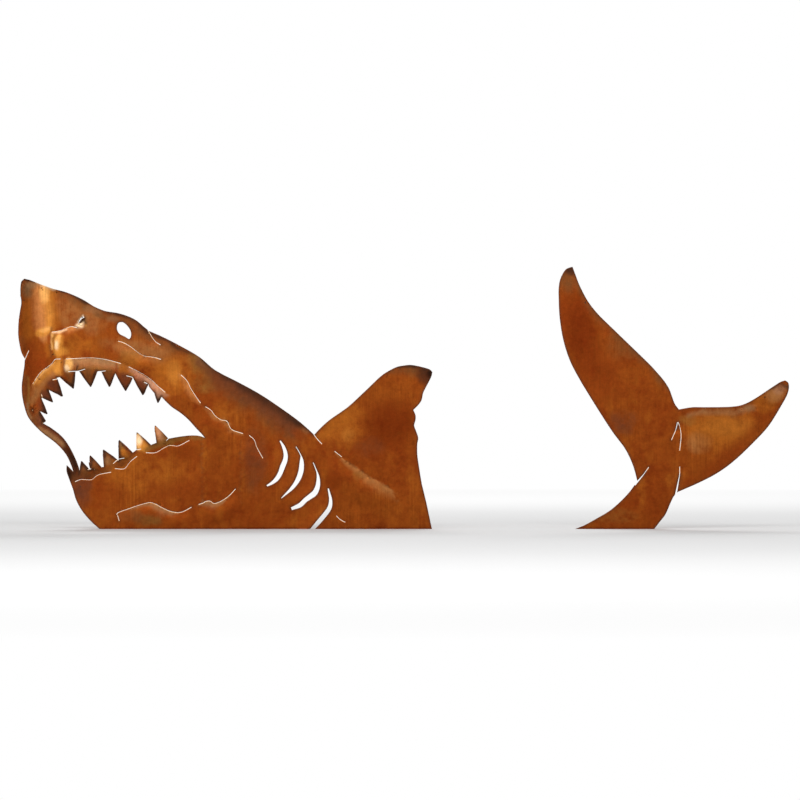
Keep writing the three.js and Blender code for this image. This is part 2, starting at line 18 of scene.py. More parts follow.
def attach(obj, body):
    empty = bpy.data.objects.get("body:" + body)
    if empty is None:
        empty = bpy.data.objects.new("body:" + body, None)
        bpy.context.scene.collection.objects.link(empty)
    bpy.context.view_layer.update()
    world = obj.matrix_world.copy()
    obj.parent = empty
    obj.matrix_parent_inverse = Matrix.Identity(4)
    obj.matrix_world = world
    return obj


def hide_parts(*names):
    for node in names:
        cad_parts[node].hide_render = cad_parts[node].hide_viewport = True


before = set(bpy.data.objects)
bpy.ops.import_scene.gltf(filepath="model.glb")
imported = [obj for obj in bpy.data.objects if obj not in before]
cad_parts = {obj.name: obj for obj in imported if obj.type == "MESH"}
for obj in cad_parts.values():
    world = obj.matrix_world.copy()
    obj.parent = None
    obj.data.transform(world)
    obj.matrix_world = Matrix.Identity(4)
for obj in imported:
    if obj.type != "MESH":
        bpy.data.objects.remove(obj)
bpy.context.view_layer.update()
MM = 0.001
SHEET = 3 * MM
print("nodes:", sorted(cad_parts))

# %% [markdown]
# ## Selecting
#
# Blender's operators act on whatever is selected, and the frame's nodes come in selected. So each step
# first selects one object alone. Inside edit mode, vertices and faces are then chosen by their place or
# normal.

# %% One object alone


def alone(thing):
    """Selects one object and nothing else."""
    bpy.ops.object.select_all(action="DESELECT")
    thing.select_set(True)
    bpy.context.view_layer.objects.active = thing


def places(mesh):
    """The vertices' places as rows of x, y, z."""
    flat = np.empty(len(mesh.vertices) * 3)
    mesh.vertices.foreach_get("co", flat)
    return flat.reshape(-1, 3)


# %% [markdown]
# ## The front of each sheet
#
# A node of the frame is a closed solid of loose triangles. It stays as it is. A copy is merged, and only
# the faces that look forwards are kept: they hold the outline, the cut lines and the hand-made bends.
# Thickness comes back at the end with Solidify, so that every later step works on one skin.

# %% A copy with only its front
FACES_FORWARDS = -0.6
SAME_PLACE = 0.01 * MM


def front_of(node, name):
    """A copy of a node, merged, that keeps only the faces towards -Y."""
    sheet = bpy.data.objects.new(name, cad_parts[node].data.copy())
    bpy.context.scene.collection.objects.link(sheet)
    alone(sheet)
    bpy.ops.object.mode_set(mode="EDIT")
    bpy.ops.mesh.select_all(action="SELECT")
    bpy.ops.mesh.remove_doubles(threshold=SAME_PLACE)
    bpy.ops.mesh.select_mode(type="FACE")
    bpy.ops.mesh.select_all(action="DESELECT")
    bpy.ops.object.mode_set(mode="OBJECT")
    for face in sheet.data.polygons:
        face.select = face.normal.y > FACES_FORWARDS
    bpy.ops.object.mode_set(mode="EDIT")
    bpy.ops.mesh.delete(type="FACE")
    bpy.ops.object.mode_set(mode="OBJECT")
    print(name, "front:", len(sheet.data.polygons), "triangles")
    return sheet


head = front_of("shark_head", "head_sheet")
tail = front_of("shark_tail", "tail_sheet")

# %% [markdown]
# ## Where the rims are
#
# A rim is an edge with a face on one side only. The torch burns the steel dark beside an open edge, while
# the lips of a thin cut get a painted highlight, pale cream, so the finish has to tell the two apart. A
# small step out from a rim finds another rim only where the cut is thin. Points along both kinds go into
# search trees, pressed flat onto the plane of the sheet, because one lip of a cut often stands in front of
# the other.

# %% Two search trees
ON_GROUND = 0.5 * MM
RIM_STEP = 0.5 * MM
STEP_OUT, FOUND_WITHIN = 0.7 * MM, 0.5 * MM


def flat(place):
    return Vector((place[0], 0.0, place[2]))


def tree_of(points):
    tree = KDTree(len(points))
    for i, point in enumerate(points):
        tree.insert(point, i)
    tree.balance()
    return tree


def rims_of(sheet):
    """Search trees of the points along the open edges and along the thin cuts."""
    mesh = sheet.data
    at = places(mesh)
    owners = {}
    for face in mesh.polygons:
        for key in face.edge_keys:
            owners.setdefault(key, []).append(face)
    points, outwards = [], []
    for (a, b), faces in owners.items():
        if len(faces) > 1 or max(at[a][2], at[b][2]) < ON_GROUND:
            continue
        start, run = flat(at[a]), flat(at[b] - at[a])
        inwards = flat(faces[0].center) - start
        inwards -= run * (inwards.dot(run) / run.length_squared)
        count = max(1, math.ceil(run.length / RIM_STEP))
        points += [start + run * (i / count) for i in range(count)]
        outwards += [-inwards.normalized()] * count
    everywhere = tree_of(points)
    thin = [everywhere.find(p + out * STEP_OUT)[2] < FOUND_WITHIN for p, out in zip(points, outwards)]
    cuts = [p for p, is_thin in zip(points, thin) if is_thin]
    edges = [p for p, is_thin in zip(points, thin) if not is_thin]
    print(sheet.name, "rim points:", len(edges), "on open edges,", len(cuts), "on thin cuts")
    return tree_of(edges), tree_of(cuts)


head_rims = rims_of(head)
tail_rims = rims_of(tail)

# %% [markdown]
# ## Finer triangles, softer bends
#
# The frame follows the bends with triangles up to 30 mm wide. Long edges are subdivided, down to about 4 mm
# beside the rims and on the finely marked front of the head, and to 8 mm in the open. Round the nostril
# they go down to 1.5 mm. Beautify evens the triangles out. Then the depth alone is smoothed. X and Z are
# held, so the silhouette and every cut line stay exactly where they are.

# %% Refine and smooth
FINE_EDGE, COARSE_EDGE = 4 * MM, 8 * MM
FINE_WITHIN, COARSE_BEYOND = 2 * MM, 14 * MM
ROUNDS, SMOOTHINGS = 5, 14
FINE_SPOTS = [
    (Vector((-0.407, 0, 0.456)), 15 * MM, 1.5 * MM),
    (Vector((-0.480, 0, 0.450)), 105 * MM, 3.6 * MM),
    (Vector((-0.480, 0, 0.310)), 90 * MM, 3.6 * MM),
    (Vector((-0.340, 0, 0.340)), 75 * MM, 4 * MM),
    (Vector((-0.350, 0, 0.140)), 90 * MM, 4 * MM),
]


def longest_edge(middle, away):
    """The longest edge allowed at a place that is so far away from the rims."""
    longest = np.interp(away, [FINE_WITHIN, COARSE_BEYOND], [FINE_EDGE, COARSE_EDGE])
    for spot, reach, fine in FINE_SPOTS:
        if (middle - spot).length < reach:
            longest = min(longest, fine)
    return longest


def refine(sheet, rims):
    """Halves every edge that is too long for its place."""
    for _ in range(ROUNDS):
        at = places(sheet.data)
        bpy.ops.object.mode_set(mode="EDIT")
        bpy.ops.mesh.select_mode(type="EDGE")
        bpy.ops.mesh.select_all(action="DESELECT")
        bpy.ops.object.mode_set(mode="OBJECT")
        for edge in sheet.data.edges:
            a, b = (flat(at[v]) for v in edge.vertices)
            middle = (a + b) / 2
            away = min(tree.find(middle)[2] for tree in rims)
            edge.select = bool((b - a).length > longest_edge(middle, away))
        bpy.ops.object.mode_set(mode="EDIT")
        bpy.ops.mesh.subdivide(number_cuts=1)
        bpy.ops.mesh.select_all(action="SELECT")
        bpy.ops.mesh.quads_convert_to_tris()
        bpy.ops.mesh.beautify_fill()
        bpy.ops.object.mode_set(mode="OBJECT")
    print(sheet.name, "refined:", len(sheet.data.polygons), "triangles")


def soften(sheet):
    """Smooths the depth and leaves X and Z alone."""
    bpy.ops.object.mode_set(mode="EDIT")
    bpy.ops.mesh.select_mode(type="VERT")
    bpy.ops.mesh.select_all(action="SELECT")
    bpy.ops.mesh.vertices_smooth(factor=0.5, repeat=SMOOTHINGS, xaxis=False, yaxis=True, zaxis=False)
    bpy.ops.object.mode_set(mode="OBJECT")


for sheet, rims in ((head, head_rims), (tail, tail_rims)):
    alone(sheet)
    refine(sheet, rims)
    soften(sheet)

# %% [markdown]
# ## Sheet steel is never quite flat
#
# Heat from the torch and the hammer leave wide, shallow waves in a thin sheet, and they are what makes its
# gloss wander. A Displace modifier with a slow cloud texture moves the skin by about a millimetre along Y.

# %% Waves in the sheet
WAVE_SIZE = 110 * MM
WAVE_DEPTH = 2.2 * MM


def wavy(sheet):
    clouds = bpy.data.textures.new(sheet.name + "_waves", "CLOUDS")
    clouds.noise_scale = WAVE_SIZE
    clouds.noise_depth = 1
    waves = sheet.modifiers.new("waves", "DISPLACE")
    waves.texture = clouds
    waves.texture_coords = "LOCAL"
    waves.direction = "Y"
    waves.mid_level = 0.5
    waves.strength = WAVE_DEPTH
    alone(sheet)
    bpy.ops.object.modifier_apply(modifier=waves.name)
    depth = places(sheet.data)[:, 1] / MM
    print(sheet.name, "stands between", round(depth.min(), 1), "and", round(depth.max(), 1), "mm")


wavy(head)
wavy(tail)

# %% [markdown]
# ## How far is the nearest rim?
#
# Each vertex stores its distance in millimetres to the open edge and to the nearest thin cut. The finish
# reads both as attributes.

# %% Distances as attributes


def measure(sheet, rims):
    """Stores the distances to the open edge and to the thin cuts, in millimetres."""
    at = [flat(p) for p in places(sheet.data)]
    for name, tree in zip(("edge_mm", "cut_mm"), rims):
        distances = [tree.find(p)[2] / MM for p in at]
        sheet.data.attributes.new(name, "FLOAT", "POINT").data.foreach_set("value", distances)
        print(sheet.name, name, "up to", round(max(distances)), "mm")


measure(head, head_rims)
measure(tail, tail_rims)

# %% [markdown]
# ## Painting dab by dab
#
# Rust is never one colour. Where water runs it is deep red, where the sheet is handled it is amber, and
# heat leaves it grey-brown. As in Vertex Paint, soft dabs and strokes of named tones go over each other on
# the sheet. Many of them are painted light: highlights where a bend or strip faces the light, and shade
# along creases. A little wobble bends their outlines, and the finish breaks them up further with noise, so
# they do not read as brush marks. Places are in millimetres from the middle of the piece's ground edge.

# %% The tones


def tone(red, green, blue):
    """A display colour of 0 to 255 a channel, as the linear colour that a shader works with.

    The numbers in it are those of the sRGB standard.
    """
    shares = (c / 255 for c in (red, green, blue))
    return np.array([s / 12.92 if s < 0.0405 else ((s + 0.055) / 1.055) ** 2.4 for s in shares])


RUST = tone(146, 72, 22)
RED = tone(133, 56, 17)
DEEP = tone(115, 44, 12)
AMBER = tone(168, 94, 30)
GOLD = tone(210, 138, 56)
HONEY = tone(236, 176, 100)
CREAM = tone(252, 216, 172)
COPPER = tone(194, 124, 68)
SAND = tone(162, 106, 58)
TAN = tone(150, 106, 68)
ROSE = tone(182, 136, 108)
OLIVE = tone(144, 96, 42)
DUST = tone(120, 90, 60)
BROWN = tone(118, 70, 36)
PLUM = tone(104, 56, 36)
SCALE = tone(76, 46, 32)
ASH = tone(58, 38, 28)
BLACK = tone(20, 12, 9)
print("rust in linear light:", RUST.round(3))

# %% Dabs and strokes
WOBBLES = ((32, 5.0), (11, 1.6))
SHOWS = 0.2
TAIL_STANDS_AT = 768


def smooth(inside):
    """A soft shoulder: 0 to 1, level at both ends."""
    inside = np.clip(inside, 0, 1)
    return inside * inside * (3 - 2 * inside)


class Paint:
    """A layer of paint over a sheet: a colour and how much of it covers the rust at each vertex.

    Its places are in millimetres, and origin_x is where the piece's own middle stands. A second layer,
    bare, says where the burnt scale of the edges has been cleared off.
    """

    def __init__(self, sheet, origin_x=0.0):
        self.sheet = sheet
        at = places(sheet.data)
        self.x, self.z = at[:, 0] / MM - origin_x, at[:, 2] / MM
        self.bent_x, self.bent_z = self.x.copy(), self.z.copy()
        for size, reach in WOBBLES:
            spots = zip(self.x / size, self.z / size)
            shifts = np.array([noise.noise_vector((x, 0.0, z)) for x, z in spots])
            self.bent_x += reach * shifts[:, 0]
            self.bent_z += reach * shifts[:, 2]
        self.colour = np.tile(RUST, (len(at), 1))
        self.cover = np.zeros(len(at))
        self.bare = np.zeros(len(at))

    def lay(self, weight, colour):
        """Lays a colour over what is there, weighted from 0 to 1 at each vertex."""
        below = self.cover * (1 - weight)
        total = np.maximum(weight + below, 1e-6)
        self.colour = (colour * weight[:, None] + self.colour * below[:, None]) / total[:, None]
        self.cover = weight + below

    def dab(self, colour, x, z, wide, high, strength=0.7, lean=0.0):
        """An oval patch. wide and high are its half sizes, and lean turns it anticlockwise in degrees."""
        turn = math.radians(lean)
        across, up = self.bent_x - x, self.bent_z - z
        along = across * math.cos(turn) + up * math.sin(turn)
        beside = up * math.cos(turn) - across * math.sin(turn)
        self.lay(strength * smooth(1 - (along / wide) ** 2 - (beside / high) ** 2), colour)

    def near(self, points, side=0, crisp=False):
        """1 along a line through points of (x, z, half width), falling softly to 0 beside it."""
        x, z = (self.x, self.z) if side or crisp else (self.bent_x, self.bent_z)
        nearest = np.full(len(x), np.inf)
        for (ax, az, a_wide), (bx, bz, b_wide) in zip(points, points[1:]):
            dx, dz = bx - ax, bz - az
            share = np.clip(((x - ax) * dx + (z - az) * dz) / (dx * dx + dz * dz), 0, 1)
            half_width = a_wide + share * (b_wide - a_wide)
            off = np.hypot(x - ax - share * dx, z - az - share * dz) / half_width
            if side:
                off[side * (dx * (z - az) - dz * (x - ax)) < 0] = np.inf
            nearest = np.minimum(nearest, off)
        return smooth(1 - nearest)

    def stroke(self, colour, points, strength=0.7, side=0, crisp=False):
        """A soft line. A side of -1 or 1 keeps to its right or left, and a crisp line does not wobble."""
        self.lay(strength * self.near(points, side, crisp), colour)

    def rub(self, points, strength=1.0):
        """Clears the burnt scale off along a line."""
        self.bare = np.maximum(self.bare, strength * self.near(points, crisp=True))

    def say(self, what):
        print(what, "painted:", round(100 * float((self.cover > SHOWS).mean())), "% of", self.sheet.name)

    def dry(self):
        """Stores the paint in the colour attribute named paint, and the bare places in one named bare."""
        mesh = self.sheet.data
        layer = mesh.color_attributes.new("paint", "FLOAT_COLOR", "POINT")
        layer.data.foreach_set("color", np.column_stack([self.colour, self.cover]).ravel())
        mesh.attributes.new("bare", "FLOAT", "POINT").data.foreach_set("value", self.bare)


# %% [markdown]
# ## Snout and cheek
#
# The snout is turned back. A golden column with honey spots is painted on it as a highlight, where the
# turned sheet catches the light from the left, and a cream highlight is painted along its top edge. Its
# front edge is red where water runs off, its tip is burnt, and a dark upright crease, painted shade along a
# bend, ends the golden column. On the cheek beside it, more bends and the nostril flap get painted
# highlights and painted shade.

# %% Snout
skin = Paint(head)
skin.dab(SAND, -436, 478, 66, 42, 0.5, -20)
skin.stroke(BROWN, [(-470, 520, 10), (-430, 508, 16), (-395, 490, 18), (-365, 474, 14)], 0.6)
skin.dab(RUST, -530, 450, 20, 90, 0.75)
skin.dab(AMBER, -525, 455, 16, 74, 0.5)
skin.rub([(-548, 500, 9), (-549, 450, 11), (-545, 410, 11), (-536, 385, 8)], 0.65)
skin.stroke(AMBER, [(-468, 516, 16), (-466, 478, 18), (-464, 448, 14)], 0.7)
skin.dab(BROWN, -537, 398, 13, 32, 0.4)
# The golden column: a painted highlight where the turned snout catches the light from the left.
skin.stroke(COPPER, [(-500, 548, 24), (-498, 500, 29), (-494, 455, 26), (-489, 418, 14)], 0.85)
skin.dab(AMBER, -484, 398, 10, 24, 0.6)
skin.stroke(GOLD, [(-488, 545, 18), (-482, 505, 22), (-478, 470, 17), (-477, 440, 13)], 0.6)
skin.dab(HONEY, -489, 516, 15, 26, 0.65)
skin.dab(DUST, -528, 526, 20, 24, 0.65)
skin.dab(TAN, -516, 539, 18, 10, 0.8, -20)
# A painted highlight along the top edge of the snout.
skin.stroke(CREAM, [(-506, 545, 6), (-490, 540, 11), (-466, 530, 8)], 0.85, crisp=True)
skin.rub([(-506, 547, 8), (-490, 543, 14), (-464, 532, 8)])
# A painted highlight where the sheet turns at the foot of the snout.
skin.dab(GOLD, -492, 433, 22, 14, 0.85, 20)
skin.dab(HONEY, -486, 439, 15, 8, 0.6, 20)
skin.stroke(ASH, [(-549, 505, 5), (-545, 535, 7), (-536, 551, 8), (-518, 549, 5), (-508, 546, 3)], 0.9)
skin.say("snout")

# %% Cheek and nostril
skin.dab(AMBER, -415, 404, 54, 36, 0.65)
# A painted highlight on the cheek, where the sheet turns towards the light.
skin.dab(GOLD, -456, 404, 17, 36, 0.85)
skin.dab(HONEY, -457, 410, 9, 24, 0.85)
skin.dab(CREAM, -459, 406, 7, 14, 0.9)
# Painted shade and a painted highlight along the upright bend: dark lines beside a pale one.
skin.stroke(BROWN, [(-473, 441, 4), (-473, 426, 4)], 0.8)
skin.stroke(HONEY, [(-471, 429, 4), (-471, 396, 4)], 0.75)
skin.stroke(OLIVE, [(-465.5, 426, 3.5), (-465.5, 384, 3.5)], 0.85)
skin.stroke(BROWN, [(-477, 404, 4), (-476, 380, 4)], 0.6)
# Painted highlights on the strip under the snout's cut and beside the next bend.
under_snout = [(-470, 434, 7), (-453, 436, 11), (-440, 441, 16), (-429, 445, 18), (-414, 443, 10)]
skin.stroke(COPPER, under_snout, 0.85, side=-1)
skin.stroke(CREAM, [(-469, 433, 4), (-455, 435, 7), (-440, 440, 5)], 0.7, side=-1)
skin.dab(GOLD, -447, 391, 18, 13, 0.6)
# The nostril flap: painted highlights on its face, painted shade on its turned edge, and gold to lighten a
# shaded mark beside it.
skin.stroke(CREAM, [(-415, 447.5, 8), (-408, 449.5, 11), (-403.5, 455, 8)], 1.0, crisp=True)
skin.stroke(CREAM, [(-414, 456, 3), (-409, 463, 3), (-403, 470, 3)], 0.8, crisp=True)
skin.stroke(BLACK, [(-409, 454, 3), (-404, 459, 5), (-399, 464, 4)], 1.0, crisp=True)
skin.stroke(GOLD, [(-397, 458, 3), (-396, 447, 3)], 0.9, crisp=True)
skin.say("cheek")

# %% [markdown]
# ## Strap, gums and teeth
#
# A narrow strap joins the snout to the jaw. The pale strips on the gums are painted highlights, where the
# sheet bulges towards the light, and every tooth is brown in the middle with burnt flanks and a black tip,
# as heat collects in a point.

# %% Upper gums
skin.stroke(RED, [(-520, 405, 22), (-518, 350, 20), (-526, 310, 10)], 0.7)
skin.stroke(BROWN, [(-531, 335, 8), (-532, 300, 9), (-527, 270, 9)], 0.6)
skin.stroke(OLIVE, [(-524, 334, 5), (-523, 300, 6), (-521, 272, 5)], 0.7)
# A painted highlight on the front gum, which bulges towards the light.
skin.stroke(SAND, [(-513, 280, 14), (-503, 312, 20), (-484, 334, 20), (-462, 350, 20)], 0.8)
skin.stroke(AMBER, [(-504, 316, 12), (-486, 340, 16), (-468, 356, 14)], 0.6)
skin.stroke(GOLD, [(-500, 322, 8), (-484, 342, 10), (-468, 356, 9)], 0.6)
# A painted highlight on the strip under the long gum cut.
long_cut = [(-430, 374, 36), (-419, 375, 38), (-379, 376, 38), (-350, 372, 36), (-327, 366, 32)]
skin.stroke(TAN, long_cut, 0.95, side=-1)
skin.stroke(OLIVE, [(-420, 352, 9), (-380, 353, 10), (-340, 348, 9)], 0.5)
# The golden column goes on as a painted highlight, with painted shade in dark lines along the upright bend.
skin.dab(GOLD, -459, 356, 13, 24, 0.9)
skin.stroke(AMBER, [(-450, 376, 6), (-450, 344, 6)], 0.8)
skin.dab(HONEY, -434, 360, 13, 22, 0.95)
skin.dab(CREAM, -438, 352, 9, 10, 0.75)
skin.stroke(BROWN, [(-445.5, 376, 3), (-445.5, 346, 3)], 0.6)
# Painted highlights on the strips under the front and rear gum cuts.
front_cut = [(-513, 319, 4), (-504, 334, 7), (-494, 346, 9), (-482, 355, 8), (-468, 367, 5)]
skin.stroke(HONEY, front_cut, 0.8, side=-1)
rear_cut = [(-300, 356, 12), (-275, 343, 22), (-253, 328, 24), (-238, 314, 22), (-222, 301, 16)]
skin.stroke(ROSE, rear_cut, 0.9, side=-1)
skin.dab(AMBER, -312, 352, 15, 16, 0.8)
skin.stroke(RED, [(-326, 366, 4), (-329, 344, 5)], 0.75)
skin.dab(OLIVE, -298, 340, 10, 8, 0.6)
skin.say("upper gums")

# %% Strap
skin.stroke(OLIVE, [(-524, 314, 5), (-523, 282, 5)], 0.6)
skin.dab(BROWN, -505, 246, 22, 30, 0.8)
skin.dab(DEEP, -513, 259, 8, 14, 0.5)
skin.stroke(TAN, [(-526, 276, 5), (-525, 260, 6), (-518, 244, 5)], 0.9, crisp=True)
skin.stroke(PLUM, [(-497, 232, 14), (-470, 212, 14), (-450, 192, 14)], 0.85)
skin.stroke(TAN, [(-500, 222, 7), (-480, 207, 12), (-462, 194, 13), (-447, 184, 10)], 0.95)
skin.stroke(ASH, [(-444, 178, 12), (-430, 154, 16), (-419, 120, 18)], 0.9)
skin.stroke(BLACK, [(-482, 226, 4), (-462, 214, 5), (-444, 194, 7), (-428, 164, 9), (-415, 132, 8)], 0.7)
skin.say("strap")

# %% Teeth
TEETH = [
    (ROSE, (-230, 292), (-238, 278), (-245, 299)), (PLUM, (-260, 317), (-271, 295), (-292, 333)),
    (PLUM, (-293, 333), (-309, 304), (-331, 343)), (BROWN, (-332, 343), (-345, 313), (-362, 348)),
    (BROWN, (-371, 348), (-386, 313), (-411, 349)), (BROWN, (-420, 348), (-424, 309), (-454, 335)),
    (PLUM, (-461, 333), (-448, 292), (-478, 307)), (PLUM, (-479, 306), (-470, 279), (-494, 290)),
    (PLUM, (-495, 287), (-482, 253), (-498, 260)), (PLUM, (-498, 258), (-488, 237), (-493, 233)),
    (BROWN, (-410, 123), (-406, 149), (-389, 130)), (BROWN, (-386, 130), (-387, 161), (-362, 135)),
    (BROWN, (-356, 136), (-358, 174), (-325, 150)), (OLIVE, (-323, 151), (-323, 195), (-293, 167)),
    (GOLD, (-284, 174), (-284, 212), (-253, 184)), (SAND, (-240, 189), (-244, 227), (-215, 198)),
]
for tooth_tone, root, tip, far_root in TEETH:
    middle = ((root[0] + far_root[0]) / 2, (root[1] + far_root[1]) / 2)
    skin.stroke(tooth_tone, [(*middle, 16), (*tip, 16)], 0.85)
    for end in (root, far_root):
        skin.stroke(ASH, [(*end, 5), (*tip, 8)], 0.9)
    skin.dab(BLACK, *tip, 8, 10, 0.85)
skin.dab(TAN, -350, 147, 11, 14, 0.6)
skin.dab(AMBER, -312, 166, 9, 12, 0.8)
skin.dab(TAN, -320, 186, 5, 10, 0.6)
skin.stroke(HONEY, [(-281, 178, 9), (-281, 206, 9)], 0.9, crisp=True)
skin.dab(CREAM, -280, 196, 9, 17, 0.9)
skin.rub([(-286, 182, 8), (-286, 208, 8)])
skin.stroke(COPPER, [(-230, 196, 13), (-241, 223, 9)], 0.85, crisp=True)
skin.stroke(ROSE, [(-232, 200, 9), (-239, 218, 7)], 0.55)
skin.stroke(TAN, [(-222, 194, 7), (-228, 206, 6)], 0.6)
skin.rub([(-243, 226, 6), (-239, 200, 7)])
skin.rub([(-240, 222, 5), (-217, 198, 7)])
skin.dab(ASH, -318, 156, 8, 6, 0.6)
skin.stroke(BLACK, [(-439, 141, 10), (-431, 112, 15)], 1.0, crisp=True)
skin.say("teeth")

# %% [markdown]
# ## Brow, neck and back
#
# Heat has left a band of plum and black scale along the whole back. Below it the neck is amber, brightest
# behind the mouth, and the brow is a dull brown round the eye.

# %% Brow and neck
skin.dab(SAND, -378, 452, 36, 34, 0.5)
skin.dab(RUST, -362, 424, 13, 46, 0.6)
skin.dab(SAND, -290, 396, 90, 28, 0.6, -12)
skin.dab(OLIVE, -302, 380, 34, 22, 0.5)
skin.dab(TAN, -380, 480, 28, 12, 0.5, -20)
skin.dab(SAND, -236, 385, 40, 36, 0.5)
skin.stroke(BROWN, [(-372, 472, 12), (-326, 462, 20), (-290, 446, 26), (-262, 426, 18)], 0.75)
skin.dab(TAN, -338, 462, 20, 10, 0.5)
skin.stroke(ASH, [(-456, 524, 3), (-430, 517, 7), (-398, 500, 8), (-345, 478, 8)], 0.85)
skin.stroke(ASH, [(-345, 478, 8), (-312, 472, 9), (-285, 458, 13), (-260, 436, 12)], 0.85)
skin.stroke(BROWN, [(-250, 422, 16), (-200, 396, 22), (-150, 368, 28)], 0.6)
skin.stroke(ASH, [(-254, 432, 7), (-215, 411, 7), (-150, 375, 9)], 0.8)
skin.dab(OLIVE, -142, 364, 44, 30, 0.75, -30)
skin.dab(TAN, -134, 367, 28, 14, 0.6, -30)
skin.dab(OLIVE, -138, 318, 30, 26, 0.55)
skin.dab(AMBER, -270, 360, 70, 26, 0.45, -14)
skin.dab(AMBER, -205, 340, 52, 62, 0.75, -30)
skin.dab(GOLD, -203, 345, 22, 38, 0.35)
# Painted highlights on the strips under the neck's wrinkle cuts, which bulge towards the light.
upper_neck = [(-187, 339, 10), (-174, 326, 16), (-165, 308, 18), (-154, 291, 16), (-144, 277, 8)]
skin.stroke(COPPER, upper_neck, 0.7, side=-1)
middle_neck = [(-133, 269, 8), (-112, 249, 14), (-86, 237, 16), (-77, 220, 14), (-51, 210, 6)]
skin.stroke(SAND, middle_neck, 0.75, side=-1)
skin.dab(AMBER, -92, 262, 34, 32, 0.4)
skin.dab(PLUM, -52, 306, 14, 12, 0.6)
skin.say("neck")

# %% Back
skin.stroke(BROWN, [(-110, 326, 40), (-60, 300, 44), (0, 262, 48), (62, 214, 40)], 0.6)
skin.stroke(PLUM, [(-150, 366, 14), (-96, 330, 34), (-50, 306, 40), (5, 268, 40), (60, 222, 30)], 0.7)
skin.stroke(ASH, [(-140, 374, 9), (-96, 343, 16), (-40, 313, 24), (20, 275, 26), (74, 233, 20)], 0.85)
skin.stroke(ASH, [(74, 233, 18), (103, 207, 10)], 0.85)
skin.dab(RED, 70, 205, 22, 12, 0.6, -40)
skin.dab(TAN, 84, 212, 14, 6, 0.35, -45)
skin.dab(PLUM, -25, 150, 38, 90, 0.4)
skin.say("back")

# %% [markdown]
# ## Jaw
#
# The jaw is plain rust, plum at its front and darker below. The folds of its chin catch the light just
# under their cuts, and that light is painted on as highlights. Two upright bends get painted shade on their
# left and a painted highlight on their right.

# %% Jaw and chin
skin.stroke(BROWN, [(-418, 112, 16), (-385, 117, 16), (-345, 128, 12)], 0.75)
skin.dab(AMBER, -300, 148, 26, 22, 0.5, 40)
lower_gum = [(-264, 176, 10), (-225, 190, 15), (-180, 199, 14), (-140, 200, 8)]
skin.stroke(OLIVE, lower_gum, 0.75)
skin.stroke(PLUM, [(-330, 140, 8), (-308, 146, 10), (-290, 164, 8)], 0.6)
skin.dab(PLUM, -406, 84, 32, 46, 0.8)
skin.dab(AMBER, -262, 122, 120, 50, 0.45)
skin.dab(DEEP, -180, 168, 44, 22, 0.35)
skin.dab(RED, -200, 90, 60, 30, 0.4)
skin.stroke(BROWN, [(-315, 28, 20), (-280, 26, 22), (-240, 20, 20)], 0.6)
skin.dab(OLIVE, -252, 20, 30, 16, 0.45)
# Painted highlights on the strips under the chin cuts.
front_chin = [(-300, 45, 4), (-262, 57, 10), (-244, 55, 18), (-226, 46, 24), (-206, 38, 16), (-190, 36, 4)]
skin.stroke(TAN, front_chin, 0.9, side=-1)
rear_chin = [(-148, 54, 6), (-131, 61, 16), (-118, 57, 18), (-100, 60, 10), (-80, 75, 4)]
skin.stroke(TAN, rear_chin, 0.85, side=-1)
# Painted shade and a painted highlight along two upright bends: dark on the left, lighter on the right.
skin.stroke(BROWN, [(-141, 200, 3), (-141, 60, 4)], 0.4)
skin.stroke(AMBER, [(-134, 190, 4), (-134, 70, 5)], 0.4)
skin.stroke(BROWN, [(-57, 195, 3), (-57, 60, 4)], 0.4)
skin.stroke(AMBER, [(-50, 190, 4), (-50, 70, 4)], 0.35)
skin.say("jaw")

# %% [markdown]
# ## Fin
#
# The fin is deep red in the middle and amber along its front. The fold at its root has a line of painted
# shade above and a pale tan painted highlight below, where the slope faces the light, widest towards the
# rear.

# %% Fin
skin.stroke(AMBER, [(120, 205, 24), (150, 230, 32), (185, 258, 32)], 0.7)
skin.dab(AMBER, 178, 214, 48, 40, 0.55)
skin.dab(GOLD, 180, 208, 22, 18, 0.25)
skin.dab(DEEP, 275, 232, 76, 70, 0.75)
skin.dab(PLUM, 228, 180, 44, 30, 0.3)
skin.dab(RUST, 270, 302, 44, 24, 0.6)
skin.stroke(BROWN, [(262, 345, 10), (300, 350, 18), (335, 346, 22)], 0.65)
skin.stroke(ASH, [(282, 357, 4), (320, 361, 8), (350, 355, 12)], 0.75)
skin.dab(ASH, 352, 340, 26, 28, 0.8)
skin.dab(BLACK, 362, 342, 12, 14, 0.8)
# A painted highlight on the slope under the fold, and painted shade in the line above it.
fold = [(151, 171, 5), (177, 149, 12), (205, 131, 18), (224, 115, 26)]
fold += [(247, 105, 34), (270, 90, 30), (295, 58, 8)]
skin.stroke(SAND, fold, 0.7, side=-1)
skin.stroke(BROWN, [(x, z, 4) for x, z, _ in fold[1:-1]], 0.6, side=1)
skin.dab(OLIVE, 200, 116, 20, 12, 0.4, -38)
skin.dab(DEEP, 150, 108, 24, 30, 0.35)
skin.dab(RUST, 200, 55, 70, 50, 0.4)
skin.dab(RUST, 285, 40, 60, 50, 0.6)
skin.dab(AMBER, 278, 36, 30, 40, 0.2)
skin.say("fin")
skin.dry()

# %% [markdown]
# ## Tail
#
# The tall fluke is the deepest red of all, and its tip is burnt grey. The low fluke faces the light and is
# amber, partly its own colour and partly a painted highlight. Its tip has lost its bloom and is a dusty
# tan.
# A thin line of painted shade lies beside the cut where the tongue is bent back.

